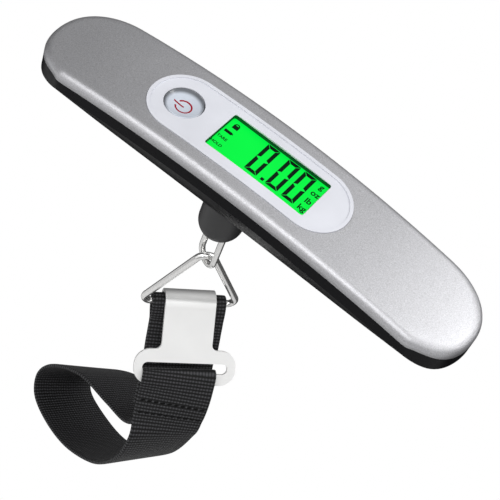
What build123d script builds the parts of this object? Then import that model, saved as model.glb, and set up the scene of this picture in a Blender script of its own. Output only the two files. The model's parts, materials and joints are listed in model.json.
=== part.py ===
from build123d import *
import math
import os

# Hand-held digital luggage scale, in millimetres.
# +X runs along the handle in reading direction, +Y across it, +Z out of the display.
# The origin is the crown of the handle's top face at mid-length.

os.makedirs("parts", exist_ok=True)

# ---- handle ---------------------------------------------------------------
LENGTH = 155.0            # overall length of the handle
WIDTH = 34.8              # width at mid-length
SIDE_BOW = 0.5            # how far each long side bows out at mid-length
END_LENGTH = 20.8         # length of each rounded end
END_FULLNESS = 2.26       # superellipse power of the rounded ends
ARCH_DROP = 7.0           # how far the top face falls from mid-length to each end
COVER_HEIGHT = 3.4        # top face down to the parting line
COVER_ROUND = 2.2         # rounding of the top cover's edge
COVER_WALL = 1.6
SHELL_DEPTH = 17.0        # parting line down to the belly at mid-length
BELLY_RISE, BELLY_END_RISE = 7.5, 5.6  # how much shallower it is at the two ends
BELLY_SPREAD = 18.5       # half-width at which the belly's curve would reach the parting line
BELLY_FULLNESS = 4.0      # power of the belly's section: higher is flatter underneath
SHELL_WALL = 1.8
PARTING_GAP = 0.05

# ---- display and button ---------------------------------------------------
BEZEL_START, BEZEL_END = -41.3, 29.5
BEZEL_HALF_WIDTH = 11.8
BEZEL_PROUD = 0.25        # bezel stands this far above the cover
BEZEL_LIP = 1.0           # thickness of the flange under the cover
BEZEL_LIP_WIDTH = 1.2
BEZEL_RIM = 1.1           # width of the raised rim round the bezel
BEZEL_STEP = 0.3          # depth of the field inside the rim
WINDOW_START, WINDOW_END = -17.0, 18.7
WINDOW_HALF_WIDTH = 7.9
WINDOW_SINK = 1.9         # crown of the handle down to the display glass
GLASS_BORDER = 1.6        # glass hidden under the bezel on each side
GLASS_THICKNESS = 1.1
BUTTON_X = -30.2
BUTTON_RADIUS = 6.1
BUTTON_DISH_RADIUS = 15.0
BUTTON_DISH_DEPTH = 1.1
BUTTON_FLANGE = 1.0
BUTTON_TRAVEL = 0.6
SLIDE_GAP = 0.15
FIT_GAP = 0.1

# ---- electronics ----------------------------------------------------------
BOARD_TOP = -7.0
BOARD_THICKNESS = 1.2
BOARD_START, BOARD_END = -48.0, 36.0
BOARD_HALF_WIDTH = 11.0
SWITCH_SIDE = 6.0
SWITCH_HEIGHT = 1.1
PLUNGER_RADIUS = 1.65
STRIP_WIDTH = 1.2
CHIP_X = 24.5
CHIP_RADIUS = 4.0
CHIP_HEIGHT = 1.1
LED_LENGTH, LED_WIDTH, LED_HEIGHT = 1.4, 3.0, 1.2
BOARD_SCREW_INSET = 3.0
BOARD_SCREW_RADIUS = 0.8
BOARD_SCREW_HEAD = 1.6
BOARD_SCREW_HEAD_HEIGHT = 1.1
BOARD_SCREW_REACH = 2.2   # thread above the board
SCREW_TIP_GAP = 0.2
BOARD_POST_RADIUS = 2.2

# ---- load cell and hook ---------------------------------------------------
HOOK_X = -6.0
BEAM_TOP = -12.5
BEAM_THICKNESS = 3.0
BEAM_LENGTH = 56.0
BEAM_WIDTH = 12.0
BEAM_NOTCH_RADIUS = 2.5
BEAM_NOTCH_OFFSET = 11.0
BEAM_SCREW_OFFSET = 23.0
BEAM_SCREW_RADIUS = 1.5
BEAM_SCREW_HEAD = 2.7
BEAM_SCREW_HEAD_HEIGHT = 1.8
BEAM_SCREW_LENGTH = 5.5
BEAM_BOSS_RADIUS = 4.2
GAUGE_LENGTH, GAUGE_WIDTH, GAUGE_THICKNESS = 6.0, 4.0, 0.25
FLEX_WIDTH, FLEX_THICKNESS = 4.0, 0.2
FLEX_LAP = 1.5            # over the gauge's end
FLEX_RUN = 4.0            # from the gauge to where it rises
FLEX_TAIL = 7.0           # under the board
STEM_RADIUS = 2.5
STEM_RUNNING_GAP = 0.06
WASHER_RADIUS, WASHER_THICKNESS = 4.8, 0.6
NUT_ACROSS, NUT_HEIGHT = 8.0, 2.0
SHROUD_RADIUS = 7.3
SHROUD_SHOULDER = -34.0   # where the shroud's side turns into its round bottom
SHROUD_MOUTH_RADIUS = 5.6
SHROUD_WALL = 1.5
SPIGOT_RADIUS = 5.2
SPIGOT_BORE = 3.0
YOKE_RADIUS = 5.2
YOKE_THICKNESS = 4.0
YOKE_TOP = -32.0

# ---- shackle, ring and clasp ----------------------------------------------
SHACKLE_AZIMUTH = -27.0
SHACKLE_WIRE = 2.1
SHACKLE_BEND = 4.0        # centreline radius of the U
SHACKLE_BOTTOM = -56.2    # lowest point of the U's centreline
LEG_DEPTH = 2.6           # how far its legs are set into the yoke
RING_AZIMUTH = 43.0
RING_WIRE = 2.4
RING_BAR = 34.0           # between the corner points of the bar's centreline
RING_HEIGHT = 27.0
RING_APEX_BEND = 3.4
RING_CORNER_BEND = 2.4
RING_RISE = 2.55          # apex centreline above the shackle's lowest centreline
CLASP_LEAN = 45.0         # the clasp leans this far out from hanging straight down
CLASP_THICKNESS = 1.1
CLASP_NECK = 17.2
CLASP_WIDTH = 34.6
CLASP_SHOULDER = 15.5     # bar down to the shoulders
CLASP_EAR_HEIGHT = 12.0
CLASP_EAR_ROUND = 5.4
CLASP_SLOT_LENGTH = 29.0
CLASP_SLOT_HEIGHT = 3.6
CLASP_SLOT_DROP = 4.5     # shoulders down to the slot's upper edge
CLASP_HOOK_WRAP = 188.0   # degrees that the hook turns round the bar

# ---- webbing --------------------------------------------------------------
WEBBING_WIDTH = 25.0
WEBBING_THICKNESS = 1.3
WEBBING_GAP = 0.3         # webbing to metal
BAR_GRIP = 1.2            # straight sides of the fold below the bar's middle
BAR_CLOSED = 7.0          # where the two layers meet below the bar
FOLD_SLIT = 0.1
BAR_TAIL = 9.0            # ring's bar down to the end of the sewn tail
SLOT_TAIL = 11.0          # clasp's lower edge down to the end of the sewn tail
# The loop between the two sewn tails, in the strap frame: across, out and down from the
# ring's bar, and how far the webbing is turned out of line with the bar, in degrees.
LOOP_ROUTE = (
    (-2.0, 2.2, 46.0, 16),
    (-5.2, -4.0, 54.0, 24),
    (-9.0, -12.5, 59.0, 26),
    (-14.0, -23.5, 62.2, 25),
    (-20.5, -38.5, 61.2, 24),
    (-26.0, -52.0, 56.2, 24),
    (-29.6, -60.6, 50.0, 25),
    (-29.0, -61.2, 44.0, 25),
    (-24.8, -53.5, 39.5, 24),
    (-17.5, -38.5, 37.0, 25),
    (-10.2, -25.0, 42.0, 26),
    (-5.0, -15.0, 45.2, 25),
    (-2.0, -8.4, 42.2, 22),
    (-0.9, -4.4, 34.0, 15),
    (-0.6, -3.0, 24.9, 7),
    (-0.3, -1.8, 16.0, 2),
)

# ---- battery --------------------------------------------------------------
CELL_INSET = 35.5         # cell's middle from the end of the case
CELL_X = LENGTH / 2 - CELL_INSET
CELL_RADIUS, CELL_THICKNESS = 10.0, 3.2
CELL_BOTTOM = -14.3
TRAY_WALL = 1.2
CONTACT_THICKNESS = 0.2
CONTACT_WIDTH, CONTACT_LENGTH, CONTACT_PAD = 4.0, 16.0, 2.5
CLIP_START = 4.0          # cell's middle out to the side contact
DOOR_LENGTH, DOOR_WIDTH, DOOR_ROUND = 30.0, 22.0, 4.0
DOOR_GAP = 0.15

# ---- case screws ----------------------------------------------------------
CASE_SCREW_INSETS = (19.5, 13.5)  # from the button end and the battery end of the case
CASE_SCREW_X = (CASE_SCREW_INSETS[0] - LENGTH / 2, LENGTH / 2 - CASE_SCREW_INSETS[1])
CASE_SCREW_RADIUS = 1.1
CASE_SCREW_HEAD = 2.2
CASE_SCREW_SEAT = -16.5
CASE_BOSS_RADIUS = 3.0
CASE_JOIN = -10.0

ARCH_RADIUS = ((LENGTH / 2) ** 2 + ARCH_DROP**2) / (2 * ARCH_DROP)
END_HALF = WIDTH / 2 - SIDE_BOW
FAR = 60.0                # longer than anything that it cuts


def save(shape, name):
    solids = shape.solids() if hasattr(shape, "solids") else list(shape)
    export_step(Compound(children=list(solids)), f"parts/{name}.step")


def arch_z(x, drop=0.0):
    """Height of the arched surface that lies a given depth under the top face."""
    radius = ARCH_RADIUS - drop
    return math.sqrt(radius**2 - x**2) - ARCH_RADIUS


def rod(radius, low, high, x=0.0, y=0.0):
    """Upright cylinder between two heights."""
    return Pos(x, y, (low + high) / 2) * Cylinder(radius, high - low)


def block(x0, x1, y0, y1, z0, z1):
    return Pos((x0 + x1) / 2, (y0 + y1) / 2, (z0 + z1) / 2) * Box(x1 - x0, y1 - y0, z1 - z0)


# ---- handle forms ---------------------------------------------------------
def end_curve(inset, steps=8):
    """The rounded +X end as a superellipse."""
    long_axis, short_axis = END_LENGTH - inset, END_HALF - inset
    start = LENGTH / 2 - END_LENGTH
    points = []
    for i in range(steps + 1):
        angle = math.pi / 2 - math.pi * i / steps
        c, s = math.cos(angle), math.sin(angle)
        across = math.copysign(abs(s) ** (2 / END_FULLNESS), s)
        points.append((start + long_axis * max(c, 0.0) ** (2 / END_FULLNESS), short_axis * across))
    return Spline(*points, tangents=[(1, 0), (-1, 0)])


def outline(inset=0.0):
    """Plan outline of the handle, set in by a wall's thickness."""
    right = end_curve(inset)
    left = mirror(right, about=Plane.YZ)
    start = LENGTH / 2 - END_LENGTH
    half, mid = END_HALF - inset, WIDTH / 2 - inset
    far_side = ThreePointArc((-start, half), (0, mid), (start, half))
    near_side = ThreePointArc((-start, -half), (0, -mid), (start, -half))
    return make_face([right, left, far_side, near_side])


def prism(face, low=-FAR, high=FAR):
    return Pos(0, 0, low) * extrude(face, high - low)


def under_arch(drop):
    """Everything below the arched surface at this depth."""
    return Pos(0, 0, -ARCH_RADIUS) * Rot(90, 0, 0) * Cylinder(ARCH_RADIUS - drop, 4 * WIDTH)


def arched_plate(face, top, bottom):
    """A plan face made solid between two depths under the arch."""
    return (prism(face) & under_arch(top)) - under_arch(bottom)


def belly_depth(x):
    """How deep the belly lies below the parting line on the centre line."""
    u = abs(x) / (LENGTH / 2)
    return SHELL_DEPTH - BELLY_RISE * u**2 - BELLY_END_RISE * u**6


def above_belly(inset=0.0):
    """Everything above the belly's surface, set in by a wall's thickness."""
    grid = []
    for i in range(21):
        x = (i / 10 - 1) * (LENGTH / 2 + 3)
        row = []
        for j in range(11):
            y = (j / 5 - 1) * (WIDTH / 2 + 2)
            side = 1 - (abs(y) / (BELLY_SPREAD - 0.85 * inset)) ** BELLY_FULLNESS
            row.append(Vector(x, y, arch_z(x, COVER_HEIGHT) - (belly_depth(x) - inset) * side))
        grid.append(row)
    return Solid.extrude(Face.make_surface_from_array_of_points(grid), Vector(0, 0, FAR))


def belly(inset=0.0):
    """The boat-shaped lower half, cut to the handle's outline below the parting line."""
    return prism(outline(inset)) & above_belly(inset) & under_arch(COVER_HEIGHT + PARTING_GAP)


def stadium(start, end, half):
    """Plan face with round ends, from start to end along X."""
    return Pos((start + end) / 2, 0) * SlotOverall(end - start, 2 * half)


hull_outer = belly()
hull_inner = belly(SHELL_WALL)

# ---- top cover ------------------------------------------------------------
cover = arched_plate(outline(), 0, COVER_HEIGHT)
crown_edges = [e for e in cover.edges() if e.center().Z > arch_z(abs(e.center().X)) - 0.6]
cover = fillet(crown_edges, COVER_ROUND)
cover -= prism(outline(COVER_WALL)) & under_arch(COVER_WALL)


def bezel_plan(grow=0.0):
    return stadium(BEZEL_START - grow, BEZEL_END + grow, BEZEL_HALF_WIDTH + grow)


cover -= prism(bezel_plan(FIT_GAP))

board_holes = (BOARD_START + BOARD_SCREW_INSET, BOARD_END - BOARD_SCREW_INSET)
screw_hole_top = BOARD_TOP + BOARD_SCREW_REACH + SCREW_TIP_GAP
for x in board_holes:
    post = rod(BOARD_POST_RADIUS, BOARD_TOP, 0, x) & under_arch(COVER_WALL / 2)
    cover += post - rod(BOARD_SCREW_RADIUS + 0.03, BOARD_TOP - 1, screw_hole_top, x)
for x in CASE_SCREW_X:
    boss = rod(CASE_BOSS_RADIUS, CASE_JOIN, 0, x) & under_arch(COVER_WALL / 2)
    cover += boss - rod(CASE_SCREW_RADIUS + 0.03, CASE_JOIN - 1, CASE_JOIN + 2.5, x)
save(cover, "top_cover")

# ---- bezel ----------------------------------------------------------------
glass_bottom = -WINDOW_SINK - FIT_GAP / 2 - GLASS_THICKNESS
bezel_bottom = COVER_WALL + BEZEL_LIP
bezel = arched_plate(bezel_plan(), -BEZEL_PROUD, bezel_bottom)
bezel += arched_plate(bezel_plan(BEZEL_LIP_WIDTH), COVER_WALL + PARTING_GAP, bezel_bottom)
bezel -= arched_plate(bezel_plan(-BEZEL_RIM), -2 * BEZEL_PROUD, BEZEL_STEP - BEZEL_PROUD)
window = Pos((WINDOW_START + WINDOW_END) / 2, 0) * RectangleRounded(
    WINDOW_END - WINDOW_START, 2 * WINDOW_HALF_WIDTH, 0.8)
bezel -= prism(window)
glass_start, glass_end = WINDOW_START - GLASS_BORDER, WINDOW_END + GLASS_BORDER
glass_half = WINDOW_HALF_WIDTH + GLASS_BORDER
bezel -= block(glass_start - FIT_GAP, glass_end + FIT_GAP, -glass_half - FIT_GAP,
               glass_half + FIT_GAP, -FAR, -WINDOW_SINK)
bezel -= rod(BUTTON_RADIUS + SLIDE_GAP, -FAR, FAR, BUTTON_X)
button_face = arch_z(BUTTON_X, BEZEL_STEP - BEZEL_PROUD)
flange_top = arch_z(BUTTON_X - BUTTON_RADIUS - BUTTON_FLANGE, bezel_bottom) - FIT_GAP
save(bezel, "display_bezel")

# ---- power button ---------------------------------------------------------
flange_bottom = flange_top - 0.8
button = rod(BUTTON_RADIUS, flange_bottom, button_face, BUTTON_X)
button = fillet(button.edges().sort_by(Axis.Z)[-1], 0.5)
dish_centre = button_face - BUTTON_DISH_DEPTH + BUTTON_DISH_RADIUS
button -= Pos(BUTTON_X, 0, dish_centre) * Sphere(BUTTON_DISH_RADIUS)
button += rod(BUTTON_RADIUS + BUTTON_FLANGE, flange_bottom, flange_top, BUTTON_X)
save(button, "power_button")

# ---- display stack --------------------------------------------------------
glass = block(glass_start, glass_end, -glass_half, glass_half, glass_bottom, -WINDOW_SINK - FIT_GAP / 2)
save(glass, "lcd_glass")
light_top = glass_bottom
light = block(glass_start + LED_LENGTH, glass_end - LED_LENGTH, -glass_half + STRIP_WIDTH,
              glass_half - STRIP_WIDTH, BOARD_TOP, light_top)
save(light, "backlight_panel")
strips = [
    block(glass_start + LED_LENGTH, glass_end - LED_LENGTH, side * glass_half - STRIP_WIDTH / 2
          - side * STRIP_WIDTH / 2, side * glass_half + STRIP_WIDTH / 2 - side * STRIP_WIDTH / 2,
          BOARD_TOP, light_top)
    for side in (-1, 1)
]
save(Compound(children=strips), "contact_strips")
leds = [
    block(x, x + LED_LENGTH, -LED_WIDTH / 2, LED_WIDTH / 2, BOARD_TOP, BOARD_TOP + LED_HEIGHT)
    for x in (glass_start, glass_end - LED_LENGTH)
]
save(Compound(children=leds), "backlight_leds")

board_bottom = BOARD_TOP - BOARD_THICKNESS
board = block(BOARD_START, BOARD_END, -BOARD_HALF_WIDTH, BOARD_HALF_WIDTH, board_bottom, BOARD_TOP)
board = fillet(board.edges().filter_by(Axis.Z), 1.5)
for x in board_holes:
    board -= rod(BOARD_SCREW_RADIUS + FIT_GAP, -FAR, FAR, x)
save(board, "circuit_board")

chip = rod(CHIP_RADIUS, board_bottom - CHIP_HEIGHT, board_bottom, CHIP_X)
chip = fillet(chip.edges().sort_by(Axis.Z)[0], CHIP_HEIGHT * 0.8)
save(chip, "controller_chip")

screws = [
    rod(BOARD_SCREW_RADIUS, board_bottom, BOARD_TOP + BOARD_SCREW_REACH, x)
    + rod(BOARD_SCREW_HEAD, board_bottom - BOARD_SCREW_HEAD_HEIGHT, board_bottom, x)
    for x in board_holes
]
save(Compound(children=screws), "board_screws")

switch_top = BOARD_TOP + SWITCH_HEIGHT
switch = block(BUTTON_X - SWITCH_SIDE / 2, BUTTON_X + SWITCH_SIDE / 2, -SWITCH_SIDE / 2,
               SWITCH_SIDE / 2, BOARD_TOP, switch_top)
switch -= rod(PLUNGER_RADIUS + FIT_GAP, BOARD_TOP + 0.1, FAR, BUTTON_X)
save(switch, "tact_switch")
plunger_bottom = BOARD_TOP + 0.1 + BUTTON_TRAVEL + FIT_GAP
save(rod(PLUNGER_RADIUS, plunger_bottom, flange_bottom, BUTTON_X), "switch_plunger")

# ---- load cell ------------------------------------------------------------
beam_bottom = BEAM_TOP - BEAM_THICKNESS
beam = block(HOOK_X - BEAM_LENGTH / 2, HOOK_X + BEAM_LENGTH / 2, -BEAM_WIDTH / 2, BEAM_WIDTH / 2,
             beam_bottom, BEAM_TOP)
beam = fillet(beam.edges().filter_by(Axis.Z), 2.0)
for side in (-1, 1):
    for edge in (-1, 1):
        beam -= rod(BEAM_NOTCH_RADIUS, -FAR, FAR, HOOK_X + side * BEAM_NOTCH_OFFSET,
                    edge * BEAM_WIDTH / 2)
    beam -= rod(BEAM_SCREW_RADIUS + FIT_GAP, -FAR, FAR, HOOK_X + side * BEAM_SCREW_OFFSET)
beam -= rod(STEM_RADIUS + STEM_RUNNING_GAP, -FAR, FAR, HOOK_X)
save(beam, "load_cell_beam")

gauges = [
    block(x - GAUGE_LENGTH / 2, x + GAUGE_LENGTH / 2, -GAUGE_WIDTH / 2, GAUGE_WIDTH / 2,
          BEAM_TOP, BEAM_TOP + GAUGE_THICKNESS)
    for x in (HOOK_X - BEAM_NOTCH_OFFSET, HOOK_X + BEAM_NOTCH_OFFSET)
]
save(Compound(children=gauges), "strain_gauges")

flex_end = HOOK_X + BEAM_NOTCH_OFFSET + GAUGE_LENGTH / 2
flex_low = BEAM_TOP + GAUGE_THICKNESS + FLEX_THICKNESS / 2
flex_high = board_bottom - FLEX_THICKNESS / 2
flex_path = FilletPolyline(
    (flex_end - FLEX_LAP, 0, flex_low), (flex_end + FLEX_RUN, 0, flex_low),
    (flex_end + FLEX_RUN, 0, flex_high), (flex_end + FLEX_RUN + FLEX_TAIL, 0, flex_high),
    radius=1.2)
flex_start = Plane(origin=flex_path @ 0, z_dir=flex_path % 0)
flex = sweep(flex_start * Rectangle(FLEX_THICKNESS, FLEX_WIDTH), path=flex_path)
if flex.bounding_box().size.Y < FLEX_WIDTH - 0.1:
    flex = sweep(flex_start * Rectangle(FLEX_WIDTH, FLEX_THICKNESS), path=flex_path)
save(flex, "gauge_flex")

beam_screws = [
    rod(BEAM_SCREW_RADIUS, beam_bottom - BEAM_SCREW_LENGTH + 3, BEAM_TOP, HOOK_X + side * BEAM_SCREW_OFFSET)
    + rod(BEAM_SCREW_HEAD, BEAM_TOP, BEAM_TOP + BEAM_SCREW_HEAD_HEIGHT, HOOK_X + side * BEAM_SCREW_OFFSET)
    for side in (-1, 1)
]
save(Compound(children=beam_screws), "load_cell_screws")

# ---- bottom shell ---------------------------------------------------------
shell = hull_outer - hull_inner


hull_mid = belly(SHELL_WALL / 2)


def inside(shape):
    """What of a boss lies within the shell, fused half-way into its wall."""
    return shape & hull_mid


for side in (-1, 1):
    x = HOOK_X + side * BEAM_SCREW_OFFSET
    shell += inside(rod(BEAM_BOSS_RADIUS, -FAR, beam_bottom, x))
    shell -= rod(BEAM_SCREW_RADIUS + 0.03, beam_bottom - BEAM_SCREW_LENGTH + 2.9, beam_bottom + 1, x)
for x in CASE_SCREW_X:
    shell += inside(rod(CASE_BOSS_RADIUS, -FAR, CASE_JOIN - PARTING_GAP, x))
    shell -= rod(CASE_SCREW_RADIUS + FIT_GAP, -FAR, FAR, x)
    shell -= rod(CASE_SCREW_HEAD + FIT_GAP, -FAR, CASE_SCREW_SEAT, x)
shell -= rod(SPIGOT_RADIUS + FIT_GAP, -FAR, BEAM_TOP - BEAM_THICKNESS - 1, HOOK_X)


def door_plan(grow=0.0):
    return Pos(CELL_X, 0) * RectangleRounded(DOOR_LENGTH + 2 * grow, DOOR_WIDTH + 2 * grow, DOOR_ROUND)


door_prism = prism(door_plan(), high=CELL_BOTTOM - 0.6)
shell -= prism(door_plan(DOOR_GAP), high=CELL_BOTTOM)
save(shell, "bottom_shell")

case_screws = [
    rod(CASE_SCREW_RADIUS, CASE_SCREW_SEAT, CASE_JOIN + 2.3, x)
    + rod(CASE_SCREW_HEAD, CASE_SCREW_SEAT - 1.7, CASE_SCREW_SEAT, x)
    for x in CASE_SCREW_X
]
save(Compound(children=case_screws), "case_screws")

# ---- battery --------------------------------------------------------------
door = (hull_outer - hull_inner) & door_prism
save(door, "battery_door")

cell_top = CELL_BOTTOM + CELL_THICKNESS
cell = fillet(rod(CELL_RADIUS, CELL_BOTTOM, cell_top, CELL_X).edges(), 0.3)
save(cell, "battery_cell")

tray_roof = cell_top + 3 * CONTACT_THICKNESS
tray_outer = CELL_RADIUS + CONTACT_THICKNESS + 2 * FIT_GAP + TRAY_WALL
tray = rod(tray_outer, CELL_BOTTOM, tray_roof + TRAY_WALL, CELL_X)
tray -= rod(tray_outer - TRAY_WALL, -FAR, tray_roof, CELL_X)
tray = tray & belly(SHELL_WALL + PARTING_GAP)
save(tray, "battery_tray")

negative = block(CELL_X - CONTACT_WIDTH / 2, CELL_X + CONTACT_WIDTH / 2, -CONTACT_LENGTH / 2,
                 CONTACT_LENGTH / 2, tray_roof - CONTACT_THICKNESS, tray_roof)
negative += rod(CONTACT_PAD, cell_top, tray_roof, CELL_X)
save(negative, "contact_negative")
clip = rod(CELL_RADIUS + FIT_GAP + CONTACT_THICKNESS, CELL_BOTTOM, cell_top, CELL_X)
clip -= rod(CELL_RADIUS + FIT_GAP, -FAR, FAR, CELL_X)
clip &= block(CELL_X + CLIP_START, FAR + CELL_X, -FAR, FAR, -FAR, FAR)
save(clip, "contact_positive")

# ---- swivel hook ----------------------------------------------------------
dome = rod(SHROUD_RADIUS, SHROUD_SHOULDER, BEAM_TOP - BEAM_THICKNESS, HOOK_X)
dome += Pos(HOOK_X, 0, SHROUD_SHOULDER) * Sphere(SHROUD_RADIUS)
dome -= hull_outer
shroud = max(dome.solids(), key=lambda s: s.volume) - rod(SHROUD_MOUTH_RADIUS, -FAR, YOKE_TOP + 0.3, HOOK_X)
shroud += rod(SPIGOT_RADIUS, YOKE_TOP + 2, beam_bottom - 1.2, HOOK_X)
shroud -= rod(SPIGOT_BORE, -FAR, FAR, HOOK_X)
save(shroud, "hook_shroud")

yoke_bottom = YOKE_TOP - YOKE_THICKNESS
yoke = rod(YOKE_RADIUS, yoke_bottom, YOKE_TOP, HOOK_X)
yoke = fillet(yoke.edges(), 0.4)
leg_seat = yoke_bottom + LEG_DEPTH
turn = Pos(HOOK_X, 0, 0) * Rot(0, 0, SHACKLE_AZIMUTH)
for side in (-1, 1):
    yoke -= turn * rod(SHACKLE_WIRE / 2 + 0.02, yoke_bottom - 1, leg_seat, side * SHACKLE_BEND)
save(yoke, "swivel_yoke")

nut_bottom = BEAM_TOP + PARTING_GAP + WASHER_THICKNESS
washer = rod(WASHER_RADIUS, BEAM_TOP + PARTING_GAP, nut_bottom, HOOK_X) - rod(STEM_RADIUS, -FAR, FAR, HOOK_X)
save(washer, "thrust_washer")
nut = Pos(HOOK_X, 0, nut_bottom) * extrude(RegularPolygon(NUT_ACROSS / 2, 6, major_radius=False), NUT_HEIGHT)
nut -= rod(STEM_RADIUS, -FAR, FAR, HOOK_X)
save(nut, "swivel_nut")
stem = rod(STEM_RADIUS, YOKE_TOP, nut_bottom + NUT_HEIGHT + 0.3, HOOK_X)
stem = chamfer(stem.edges().sort_by(Axis.Z)[-1], 0.4)
save(stem, "swivel_stem")

bend_top = SHACKLE_BOTTOM + SHACKLE_BEND
u_path = Wire([
    Line((SHACKLE_BEND, 0, leg_seat), (SHACKLE_BEND, 0, bend_top)),
    ThreePointArc((SHACKLE_BEND, 0, bend_top), (0, 0, SHACKLE_BOTTOM), (-SHACKLE_BEND, 0, bend_top)),
    Line((-SHACKLE_BEND, 0, bend_top), (-SHACKLE_BEND, 0, leg_seat)),
])
u_bolt = sweep(Plane(origin=u_path @ 0, z_dir=u_path % 0) * Circle(SHACKLE_WIRE / 2), path=u_path)
save(turn * u_bolt, "hook_shackle")

# ---- triangular ring ------------------------------------------------------
apex_z = SHACKLE_BOTTOM + RING_RISE
bar_z = apex_z - RING_HEIGHT


def apex_overshoot():
    """How far the straight legs would meet above the rounded apex."""
    over = RING_APEX_BEND
    for _ in range(20):
        half_angle = math.atan(RING_BAR / 2 / (RING_HEIGHT + over))
        over = RING_APEX_BEND / math.sin(half_angle) - RING_APEX_BEND
    return over


ring_path = FilletPolyline(
    (0, 0, RING_HEIGHT + apex_overshoot()), (-RING_BAR / 2, 0, 0), (RING_BAR / 2, 0, 0),
    radius=[RING_APEX_BEND, RING_CORNER_BEND, RING_CORNER_BEND], close=True)
ring = sweep(Plane(origin=ring_path @ 0, z_dir=ring_path % 0) * Circle(RING_WIRE / 2), path=ring_path)
save(Pos(HOOK_X, 0, bar_z) * Rot(0, 0, RING_AZIMUTH) * ring, "triangle_ring")

# ---- clasp plate ----------------------------------------------------------
# Strap frame: x along the ring's bar, y out of the clasp's front, z down the clasp.
azimuth, lean = math.radians(RING_AZIMUTH), math.radians(CLASP_LEAN)
strap_frame = Plane(
    origin=(HOOK_X, 0, bar_z), x_dir=(math.cos(azimuth), math.sin(azimuth), 0),
    z_dir=(math.sin(lean) * math.sin(azimuth), -math.sin(lean) * math.cos(azimuth), -math.cos(lean)))

wrap_inner = RING_WIRE / 2 + WEBBING_GAP
wrap_outer = wrap_inner + WEBBING_THICKNESS
hook_inner = wrap_outer + WEBBING_GAP
hook_outer = hook_inner + CLASP_THICKNESS
clasp_y = (hook_inner + hook_outer) / 2
slot_top = CLASP_SHOULDER + CLASP_SLOT_DROP
slot_bottom = slot_top + CLASP_SLOT_HEIGHT
clasp_bottom = CLASP_SHOULDER + CLASP_EAR_HEIGHT


def across(face, width):
    """Profile drawn in the strap frame's YZ plane, made solid across the strap."""
    return extrude(Plane.YZ * face, width / 2, both=True)


neck = Pos(0, -CLASP_SHOULDER / 2 - 1) * Rectangle(CLASP_NECK, CLASP_SHOULDER + 2)
ears = Pos(0, -CLASP_SHOULDER - CLASP_EAR_HEIGHT / 2) * RectangleRounded(
    CLASP_WIDTH, CLASP_EAR_HEIGHT, CLASP_EAR_ROUND)
plate = neck + ears
inner_corners = [v for v in plate.vertices() if abs(v.Y + CLASP_SHOULDER) < 0.01
                 and abs(abs(v.X) - CLASP_NECK / 2) < 0.01]
plate = fillet(inner_corners, 2.0)
plate -= Pos(0, -slot_top - CLASP_SLOT_HEIGHT / 2) * SlotOverall(CLASP_SLOT_LENGTH, CLASP_SLOT_HEIGHT)
plate_solid = Rot(-90, 0, 0) * extrude(plate, CLASP_THICKNESS)
clasp = Pos(0, hook_inner, 0) * plate_solid & Pos(0, 0, FAR / 2) * Box(FAR, FAR, FAR)
hook_profile = make_face([
    CenterArc((0, 0), hook_outer, 0, -CLASP_HOOK_WRAP),
    Line(CenterArc((0, 0), hook_outer, 0, -CLASP_HOOK_WRAP) @ 1,
         CenterArc((0, 0), hook_inner, 0, -CLASP_HOOK_WRAP) @ 1),
    CenterArc((0, 0), hook_inner, 0, -CLASP_HOOK_WRAP),
    Line((hook_inner, 0), (hook_outer, 0)),
])
clasp += across(hook_profile, CLASP_NECK)
save(strap_frame * clasp, "clasp_plate")

# ---- webbing --------------------------------------------------------------
def fold(radius, straight, narrow, narrow_at, end):
    """Profile round a bar at the origin that narrows to a flat tail below it."""
    tail = Polyline((-radius, 0), (-radius, straight), (-narrow, narrow_at), (-narrow, end),
                    (narrow, end), (narrow, narrow_at), (radius, straight), (radius, 0), (-radius, 0))
    return Circle(radius) + make_face(tail)


bar_fold = fold(wrap_outer, BAR_GRIP, WEBBING_THICKNESS, BAR_CLOSED, BAR_TAIL)
bar_fold -= fold(wrap_inner, BAR_GRIP, FOLD_SLIT, BAR_CLOSED - 2.4, BAR_CLOSED - 2.0)
slot_inner = CLASP_THICKNESS / 2 + WEBBING_GAP
slot_outer = slot_inner + WEBBING_THICKNESS
slot_fold_z = slot_bottom - WEBBING_GAP + slot_inner
bar_width = clasp_bottom - slot_fold_z
slot_fold = fold(slot_outer, bar_width + 0.3, WEBBING_THICKNESS, bar_width + 3.6,
                 bar_width + SLOT_TAIL)
slot_fold -= fold(slot_inner, bar_width + 0.3, FOLD_SLIT, bar_width + 2.0, bar_width + 2.4)
webbing = across(bar_fold, WEBBING_WIDTH)
webbing += across(Pos(clasp_y, slot_fold_z) * slot_fold, WEBBING_WIDTH)

half_layer = WEBBING_THICKNESS / 2
route = [(0.0, clasp_y + half_layer, clasp_bottom + SLOT_TAIL, 0)]
route += LOOP_ROUTE
route += [(0.0, -half_layer, BAR_TAIL, 0)]


def band_corners(i, width, thickness):
    """The four corners of the band's cross-section at a station of the route."""
    before, here, after = route[max(i - 1, 0)], route[i], route[min(i + 1, len(route) - 1)]
    along = Vector(*after[:3]) - Vector(*before[:3])
    if i in (0, len(route) - 1):
        along = Vector(0, 0, 1 if i == 0 else -1)
    yaw = math.radians(here[3])
    place = Plane(origin=here[:3], x_dir=(math.cos(yaw), -math.sin(yaw), 0), z_dir=along)
    signs = ((-1, -1), (1, -1), (1, 1), (-1, 1))
    return [place.from_local_coords((a * width / 2, b * thickness / 2, 0)) for a, b in signs]


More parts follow.
